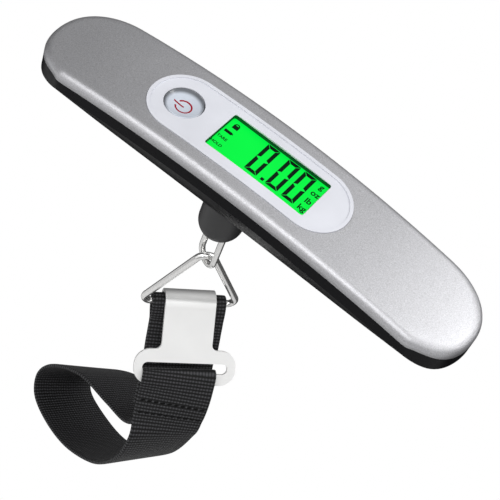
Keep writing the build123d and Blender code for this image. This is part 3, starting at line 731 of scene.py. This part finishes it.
# ---- webbing ----------------------------------------------------------------
# Middle line of the webbing from one sewn end to the other, in millimetres in the strap's own
# frame: across, out of the clasp's front, down from the ring's bar; then how far it is turned
# and rolled there, in degrees.
WEBBING_ROUTE = (
    (-4.0, 3.0, 36.4, 3, 0), (-3.1, 3.0, 32.0, 0, 0), (-2.4, 2.5, 29.0, 0, 0),
    (-1.8, 2.15, 26.5, 0, 0), (-1.8, 2.45, 23.4, 0, 0), (-1.8, 3.65, 22.6, 0, 0),
    (-1.8, 4.9, 23.4, 0, 0), (-2.1, 5.15, 26.5, 0, 0), (-2.5, 4.7, 30.0, 0, 0),
    (-3.3, 4.25, 35.0, 3, 0), (-4.1, 3.6, 39.5, 8, 0), (-5.3, 2.2, 45.6, 16, 0),
    (-7.6, -4.0, 53.2, 23, 0), (-10.2, -12.5, 58.2, 26, 0), (-14.2, -23.5, 61.6, 25, 0),
    (-20.5, -38.5, 61.0, 24, 0), (-26.0, -52.0, 56.2, 24, 0), (-29.8, -60.8, 49.5, 25, 3),
    (-29.4, -61.4, 42.5, 25, 8), (-25.2, -53.5, 37.6, 24, 9), (-17.5, -38.5, 36.2, 25, 6),
    (-10.2, -25.0, 41.4, 26, 4), (-5.0, -15.0, 44.8, 25, 2), (-2.2, -8.4, 42.0, 22, 0),
    (-1.3, -4.4, 34.0, 15, 0), (-1.0, -3.0, 24.9, 7, 0), (-0.7, -1.8, 16.0, 2, 0),
    (-0.3, -0.7, 9.5, 0, 0), (0.0, -0.9, 6.5, 0, 0), (0.0, -1.8, 3.0, 0, 0),
    (0.0, -2.15, 0.0, 0, 0), (0.0, -1.5, -1.55, 0, 0), (0.0, 0.0, -2.15, 0, 0),
    (0.0, 1.5, -1.55, 0, 0), (0.0, 2.15, 0.0, 0, 0), (0.0, 1.8, 3.0, 0, 0),
    (-0.1, 0.9, 6.0, 0, 0), (-0.3, 0.6, 9.0, 0, 0), (-0.5, 0.1, 13.0, 0, 0),
    (-0.7, -0.7, 18.6, 2, 0),
)
LAST_STATION = len(WEBBING_ROUTE) - 1
FRONT_RUN = (7, 12)         # stations between which the webbing hangs in front of the clasp
ROUTE_STEPS = 400           # lengths that the band is cut into
LENGTH_SAMPLES = 1500       # places at which the route is measured
TANGENT_REACH = 0.05        # in stations
CLASP_LEAN = 45             # degrees that the strap leans out from hanging straight down
# Half of the section: how far out from its middle, and how much of the thickness is there.
WEBBING_SECTION = ((0.2, 1.0), (0.6, 1.0), (0.9, 1.0), (0.965, 0.9), (0.99, 0.68), (1.0, 0.35))


def route_values(place):
    """Place and turns at a point of the route, where whole numbers are its stations."""
    i = min(int(place), LAST_STATION - 1)
    f = place - i
    four = [WEBBING_ROUTE[min(max(i + k, 0), LAST_STATION)] for k in (-1, 0, 1, 2)]
    return [
        b + f * (c - a) / 2
        + f**2 * (a - 2.5 * b + 2 * c - d / 2)
        + f**3 * (1.5 * (b - c) + (d - a) / 2)
        for a, b, c, d in zip(*four)
    ]


def route_section(place):
    """Middle, direction across and direction through the webbing at a point of the route."""
    values = route_values(place)
    ahead = route_values(min(place + TANGENT_REACH, LAST_STATION))
    behind = route_values(max(place - TANGENT_REACH, 0))
    along = (Vector(ahead[:3]) - Vector(behind[:3])).normalized()
    turn, roll = math.radians(values[3]), math.radians(values[4])
    across = Vector(
        (math.cos(turn) * math.cos(roll), -math.sin(turn) * math.cos(roll), math.sin(roll)))
    across = (across - along * across.dot(along)).normalized()
    return Vector(values[:3]), across, along.cross(across)


def even_places(steps):
    """Points of the route that cut it into even lengths, and its whole length in millimetres."""
    fine = [LAST_STATION * i / LENGTH_SAMPLES for i in range(LENGTH_SAMPLES + 1)]
    spots = [Vector(route_values(place)[:3]) for place in fine]
    run = [0.0]
    for near, far in zip(spots, spots[1:]):
        run.append(run[-1] + (far - near).length)
    places, k = [], 0
    for i in range(steps + 1):
        while k < LENGTH_SAMPLES - 1 and run[k + 1] < run[-1] * i / steps:
            k += 1
        share = (run[-1] * i / steps - run[k]) / (run[k + 1] - run[k])
        places.append(fine[k] + share * (fine[k + 1] - fine[k]))
    return places, run[-1]


def strap_frame():
    """Where the strap's own frame is: on the ring's bar, across it, out and down the clasp."""
    side = Vector(STRAP_SWING["axis"]).normalized()
    front = Vector((side.y, -side.x, 0.0))
    lean = math.radians(CLASP_LEAN)
    down = Vector((0, 0, -1)) * math.cos(lean) + front * math.sin(lean)
    out = down.cross(side).normalized()
    turn = Matrix((side, out, down)).transposed().to_4x4()
    return Matrix.Translation(Vector(STRAP_SWING["pos_m"])) @ turn


class LUGGAGE_OT_webbing(bpy.types.Operator):
    """Lays the ribbed webbing through the clasp, round its loop and over the ring's bar"""

    bl_idname = "luggage.webbing"
    bl_label = "Lay Webbing"

    def execute(self, context):
        sizes = context.scene.luggage_webbing
        places, length = even_places(ROUTE_STEPS)
        stations = [route_section(place) for place in places]
        section = [(-out, thick) for out, thick in reversed(WEBBING_SECTION)]
        section.extend(WEBBING_SECTION)
        columns = len(section) - 1
        shape = bmesh.new()
        bmesh.ops.create_grid(shape, x_segments=columns, y_segments=ROUTE_STEPS, size=0.5)
        sheet = shape.loops.layers.uv.new("weave")
        layer = bmesh.ops.extrude_face_region(shape, geom=shape.faces[:])["geom"]
        raised = [part for part in layer if isinstance(part, bmesh.types.BMVert)]
        bmesh.ops.translate(shape, verts=raised, vec=(0.0, 0.0, 1.0))
        bmesh.ops.recalc_face_normals(shape, faces=shape.faces)
        # The flat block is mapped while it is still even, then bent onto the route.
        for face in shape.faces:
            for loop in face.loops:
                out, _ = section[round((loop.vert.co.x + 0.5) * columns)]
                share = loop.vert.co.y + 0.5
                loop[sheet].uv = (out * sizes.width / MM / 2, share * length)
        for vert in shape.verts:
            out, thick = section[round((vert.co.x + 0.5) * columns)]
            middle, across, through = stations[round((vert.co.y + 0.5) * ROUTE_STEPS)]
            side = (vert.co.z - 0.5) * thick * sizes.thickness
            vert.co = middle * MM + across * out * sizes.width / 2 + through * side
        bmesh.ops.transform(shape, matrix=strap_frame(), verts=shape.verts)
        bmesh.ops.recalc_face_normals(shape, faces=shape.faces)
        finish = woven_webbing(context.scene.luggage_look)
        piece = new_piece("webbing_band", shape, "strap", finish)
        smooth_faces(piece, angle=60.0)
        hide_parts("webbing_strap")
        return {"FINISHED"}


ROW_SPACING = 4.0                   # millimetres
STITCH_SPACING = 1.3                # in stitch lengths, before the row is evened out
SEAM_MARGIN = 1.4 * MM              # webbing left over at both edges together
STITCH_HALF_HEIGHT = 0.2 * MM
STITCH_HALF_WIDTH = 0.32 * MM
STITCH_TILT = 9                     # degrees across the row
HALVINGS = 30                       # of the run in front, to find a row's place in it


def place_below_bar(depth):
    """Point of the route in front of the clasp that is this many millimetres down from the bar."""
    low, high = FRONT_RUN
    for _ in range(HALVINGS):
        middle = (low + high) / 2
        if route_values(middle)[2] < depth:
            low = middle
        else:
            high = middle
    return low


class LUGGAGE_OT_stitching(bpy.types.Operator):
    """Sews the rows of thread that close the webbing below the clasp"""

    bl_idname = "luggage.stitching"
    bl_label = "Sew Webbing"

    def execute(self, context):
        sizes = context.scene.luggage_webbing
        thread = matte_moulding("black thread", (0.003, 0.003, 0.003), rough=0.7, shine=0.1)
        count = int(sizes.width / (sizes.stitch * STITCH_SPACING))
        pitch = (sizes.width - SEAM_MARGIN) / count
        tilt = Matrix.Rotation(math.radians(STITCH_TILT), 4, "Y")
        size = Matrix.Diagonal((sizes.stitch / 2, STITCH_HALF_HEIGHT, STITCH_HALF_WIDTH, 1.0))
        shape = bmesh.new()
        for row in range(sizes.rows):
            place = place_below_bar(sizes.first_row / MM + ROW_SPACING * row)
            spot, across, through = route_section(place)
            if through.y < 0:
                through = -through
            turn = Matrix((across, through, across.cross(through))).transposed().to_4x4()
            seat = Matrix.Translation(spot * MM + through * sizes.thickness * 0.5) @ turn
            for i in range(count):
                offset = Matrix.Translation(((i + 0.5 - count / 2) * pitch, 0.0, 0.0))
                bmesh.ops.create_uvsphere(shape, u_segments=10, v_segments=6, radius=1.0,
                                          matrix=seat @ offset @ tilt @ size)
        bmesh.ops.transform(shape, matrix=strap_frame(), verts=shape.verts)
        piece = new_piece("webbing_stitches", shape, "strap", thread)
        smooth_faces(piece, angle=180.0)
        return {"FINISHED"}


# ---- stage ------------------------------------------------------------------
# Area lamps in metres and watts: name, place, width and depth, power, the point aimed at.
LAMPS = (
    ("key", (0.7, 0.72, 0.95), (0.8, 0.8), 8.0, (0, 0, -0.03)),
    ("band", (-0.15, -0.62, 0.95), (1.4, 0.8), 8.0, (0, 0, -0.03)),
    ("plate", (0.95, -0.5, 0.74), (0.9, 0.9), 2.2, (0, 0, -0.1)),
    ("front", (-0.7, -0.9, 0.35), (1.2, 0.9), 2.4, (0, 0, -0.08)),
)
CAMERA_PLACE = (0.086267, -0.255622, 0.294478)  # metres
CAMERA_TURN = (36.3863, -14.738, 36.4181)       # degrees about X, then Y, then Z
CAMERA_LENS, CAMERA_SENSOR = 100.03, 36.0       # millimetres
CAMERA_NEAR = 0.01
FLOOR_DROP, FLOOR_HALF = 0.06, 6.0              # metres
# What the ground throws back fades from the first tone to the second over this reach of Y.
GROUND_REACH, GROUND_TONES = (-0.04, 0.05), (0.6, 0.03)
# The world's strength grows with height, and from the left to the right of the object.
SKY_HEIGHTS, SKY_STRENGTHS = (-0.1, 0.9), (0.16, 0.62)
SIDE_REACH, SIDE_SHARES = (-0.5, -0.18), (0.35, 1.1)
WHITE = (1.0, 1.0, 1.0, 1.0)


class LUGGAGE_OT_stage(bpy.types.Operator):
    """Sets up the pale floor, the soft lamps, the world and the camera"""

    bl_idname = "luggage.stage"
    bl_label = "Set Stage"

    def execute(self, context):
        scene = context.scene
        self.floor(scene)
        self.world(scene)
        self.lamps(scene)
        self.camera(scene)
        scene.view_settings.view_transform = "Standard"
        return {"FINISHED"}

    def floor(self, scene):
        level = Matrix.Translation((0.0, 0.0, CAD_BOX[0][2] - FLOOR_DROP))
        shape = bmesh.new()
        bmesh.ops.create_grid(shape, x_segments=1, y_segments=1, size=FLOOR_HALF, matrix=level)
        mesh = bpy.data.meshes.new("floor")
        shape.to_mesh(mesh)
        shape.free()
        mesh.materials.append(self.pale_ground())
        floor = bpy.data.objects.new("floor", mesh)
        scene.collection.objects.link(floor)

    def pale_ground(self):
        """Ground that the camera sees as pure white and that is dull to every other ray."""
        ground = bpy.data.materials.new("pale ground")
        ground.use_nodes = True
        kit = NodeKit(ground.node_tree)
        kit.nodes.clear()
        place = kit.node("ShaderNodeNewGeometry").outputs["Position"]
        tone = kit.remap(kit.axis(place, "Y"), *GROUND_REACH, *GROUND_TONES, smooth=True)
        dull = kit.node("ShaderNodeBsdfDiffuse", Color=tone).outputs["BSDF"]
        glow = kit.node("ShaderNodeEmission", Color=WHITE).outputs["Emission"]
        rays = kit.node("ShaderNodeLightPath").outputs
        seen = kit.maths("MAXIMUM", rays["Is Camera Ray"], rays["Is Transmission Ray"])
        mix = kit.node("ShaderNodeMixShader", Fac=seen)
        kit.plug(dull, mix.inputs[1])
        kit.plug(glow, mix.inputs[2])
        kit.node("ShaderNodeOutputMaterial", Surface=mix.outputs["Shader"])
        return ground

    def world(self, scene):
        """Soft surroundings, and white where the camera looks past the floor."""
        world = bpy.data.worlds.new("studio")
        scene.world = world
        world.use_nodes = True
        kit = NodeKit(world.node_tree)
        way = kit.node("ShaderNodeTexCoord").outputs["Generated"]
        height = kit.remap(kit.axis(way, "Z"), *SKY_HEIGHTS, *SKY_STRENGTHS)
        side = kit.remap(kit.axis(way, "X"), *SIDE_REACH, *SIDE_SHARES)
        level = kit.nodes.new("ShaderNodeMix")
        level.data_type = "FLOAT"
        rays = kit.node("ShaderNodeLightPath").outputs
        kit.plug(rays["Is Camera Ray"], level.inputs["Factor"])
        kit.plug(kit.maths("MULTIPLY", height, side), level.inputs["A"])
        kit.plug(1.0, level.inputs["B"])
        back = kit.nodes["Background"]
        kit.plug(WHITE, back.inputs["Color"])
        kit.plug(level.outputs["Result"], back.inputs["Strength"])

    def lamps(self, scene):
        for name, place, size, power, aim in LAMPS:
            lamp = bpy.data.lights.new(name, "AREA")
            lamp.shape = "RECTANGLE"
            lamp.size, lamp.size_y = size
            lamp.energy = power
            holder = bpy.data.objects.new(name, lamp)
            scene.collection.objects.link(holder)
            holder.location = place
            facing = (Vector(aim) - Vector(place)).to_track_quat("-Z", "Y")
            holder.rotation_euler = facing.to_euler()

    def camera(self, scene):
        lens = bpy.data.cameras.new("camera")
        lens.lens = CAMERA_LENS
        lens.sensor_width = CAMERA_SENSOR
        lens.clip_start = CAMERA_NEAR
        holder = bpy.data.objects.new("camera", lens)
        scene.collection.objects.link(holder)
        holder.location = CAMERA_PLACE
        holder.rotation_euler = [math.radians(angle) for angle in CAMERA_TURN]
        scene.camera = holder


# ---- add-on -----------------------------------------------------------------
class LUGGAGE_PT_panel(bpy.types.Panel):
    """Sizes, colours and steps for the luggage scale"""

    bl_idname = "LUGGAGE_PT_panel"
    bl_label = "Luggage Scale"
    bl_space_type = "VIEW_3D"
    bl_region_type = "UI"
    bl_category = "Luggage Scale"

    def draw(self, context):
        scene = context.scene
        for group in (scene.luggage_look, scene.luggage_display, scene.luggage_webbing):
            box = self.layout.box()
            for key in group.__annotations__:
                box.prop(group, key)
        for step in STEPS:
            self.layout.operator(step.bl_idname)


STEPS = (
    LUGGAGE_OT_case,
    LUGGAGE_OT_display,
    LUGGAGE_OT_window_shade,
    LUGGAGE_OT_power_symbol,
    LUGGAGE_OT_screw_slots,
    LUGGAGE_OT_webbing,
    LUGGAGE_OT_stitching,
    LUGGAGE_OT_stage,
)
GROUPS = {
    "luggage_look": LookSettings,
    "luggage_display": DisplaySettings,
    "luggage_webbing": WebbingSettings,
}


def register():
    for group in GROUPS.values():
        bpy.utils.register_class(group)
    for step in STEPS:
        bpy.utils.register_class(step)
    bpy.utils.register_class(LUGGAGE_PT_panel)
    for name, group in GROUPS.items():
        setattr(bpy.types.Scene, name, PointerProperty(type=group))


def unregister():
    for name in GROUPS:
        delattr(bpy.types.Scene, name)
    bpy.utils.unregister_class(LUGGAGE_PT_panel)
    for step in reversed(STEPS):
        bpy.utils.unregister_class(step)
    for group in GROUPS.values():
        bpy.utils.unregister_class(group)


def main():
    register()
    bpy.ops.luggage.case()
    bpy.ops.luggage.display()
    bpy.ops.luggage.display_mask()
    bpy.ops.luggage.power_symbol()
    bpy.ops.luggage.screw_slots()
    bpy.ops.luggage.webbing()
    bpy.ops.luggage.stitching()
    bpy.ops.luggage.stage()


if __name__ == "__main__":
    main()
